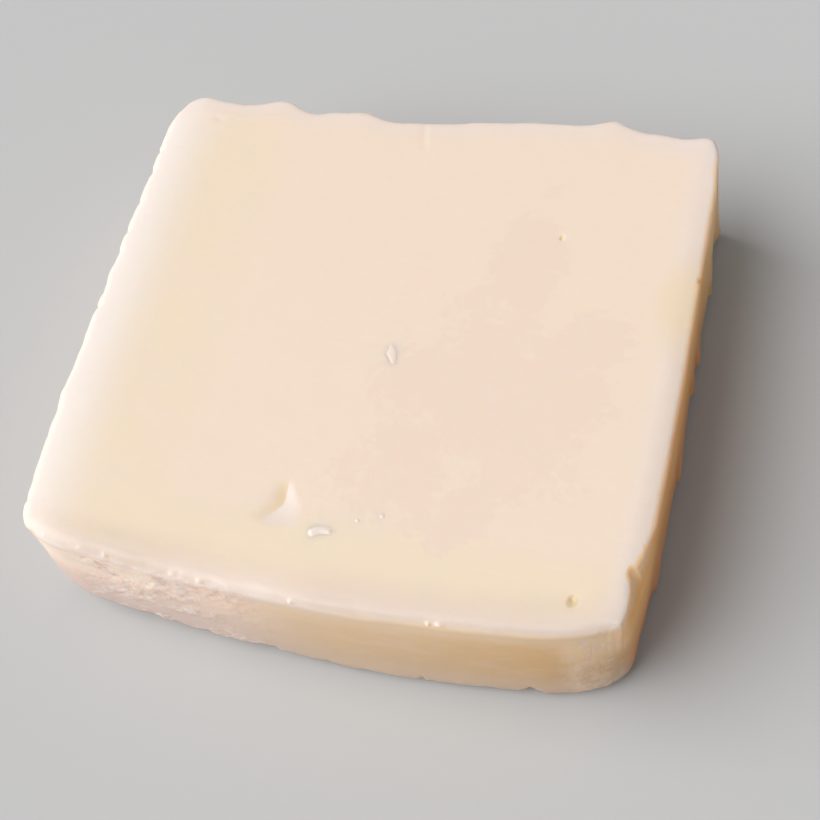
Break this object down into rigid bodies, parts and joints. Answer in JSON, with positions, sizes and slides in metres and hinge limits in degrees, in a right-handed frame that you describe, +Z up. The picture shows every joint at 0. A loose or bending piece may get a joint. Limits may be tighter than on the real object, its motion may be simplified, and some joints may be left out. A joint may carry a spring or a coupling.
{
  "type": "shaving soap block",
  "caption": "Squarish slab of hard cream shaving soap with a bowed front face, a wavy back edge, worn rims, small dents and a few loose soap bits on its flat top.",
  "frame": {"origin": "centre of the bounding box, on the plane that the block rests on", "axes": "+Z up through the block's thickness, -Y towards the bowed front face, +X to the right when looking at that face"},
  "size_m": [0.0762, 0.0734, 0.0211],
  "materials": {
    "soap_body": "satin, slightly translucent hard soap, cream with faint pink and yellow mottling",
    "soap_bits": "matt dried soap, paler than the block"
  },
  "bodies": {
    "root": {"soap_bar": "soap_body", "soap_shaving": "soap_bits", "soap_flake": "soap_bits", "soap_crumb_left": "soap_bits", "soap_crumb_right": "soap_bits"}
  },
  "joints": []
}
